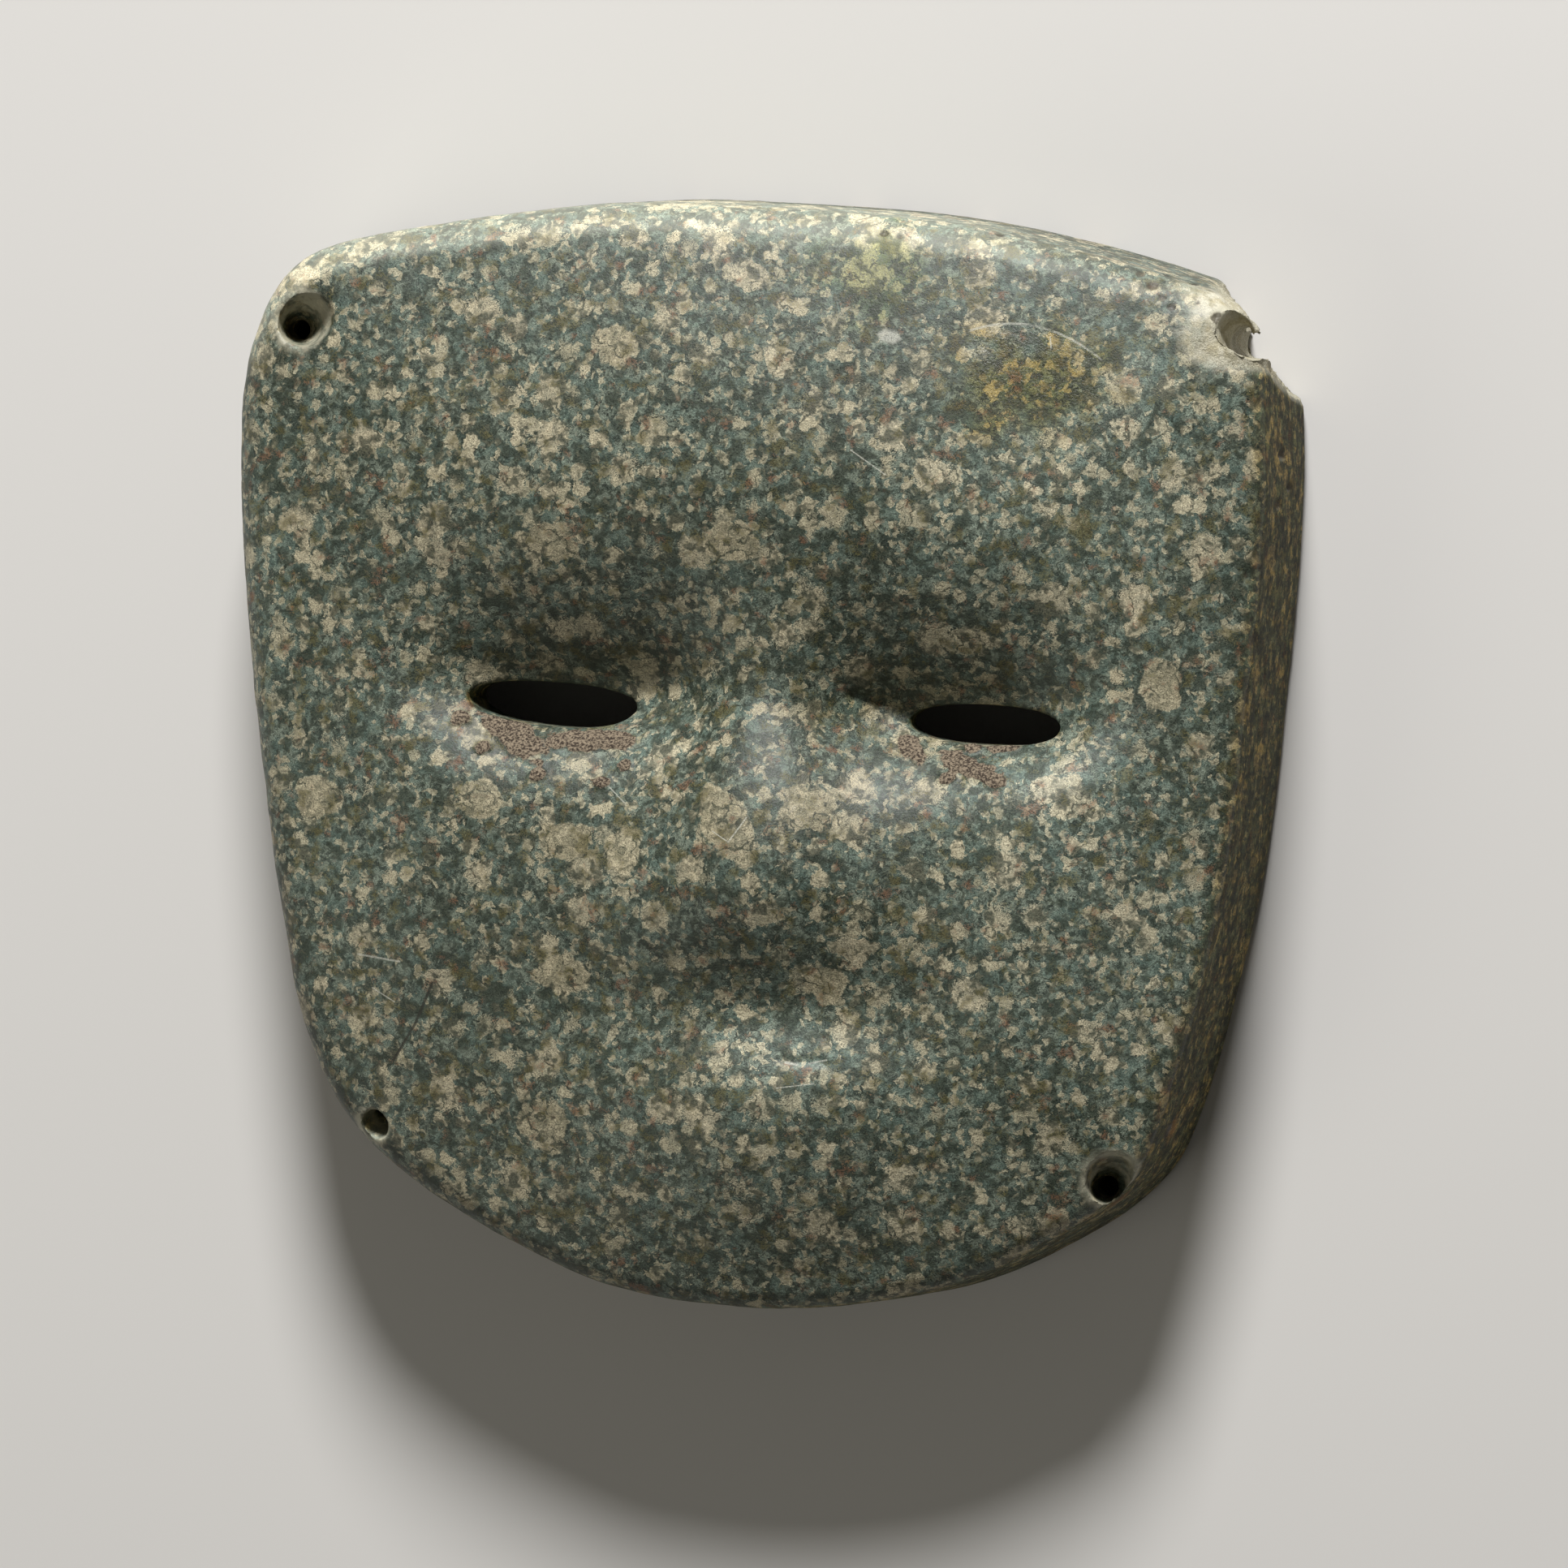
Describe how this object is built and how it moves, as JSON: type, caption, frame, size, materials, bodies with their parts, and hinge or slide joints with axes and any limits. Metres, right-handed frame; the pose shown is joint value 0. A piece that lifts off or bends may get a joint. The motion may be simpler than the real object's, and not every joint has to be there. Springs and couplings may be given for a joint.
{
  "type": "stone mask",
  "caption": "Solid stone face mask, flat-backed and hollowed behind, with slit eyes, a low nose and small lashing holes drilled near the edge.",
  "frame": {"origin": "middle of the mask's bounding box, on the plane of the flat rim of its back", "axes": "+Z out of the face, +Y to the forehead, +X to the right for someone who looks at the face; the mask lies on its back in the XY plane"},
  "size_m": [0.1547, 0.1615, 0.0429],
  "materials": {
    "stone": "worn semi-matte speckled greenstone"
  },
  "bodies": {
    "root": {"mask": "stone"}
  },
  "joints": []
}
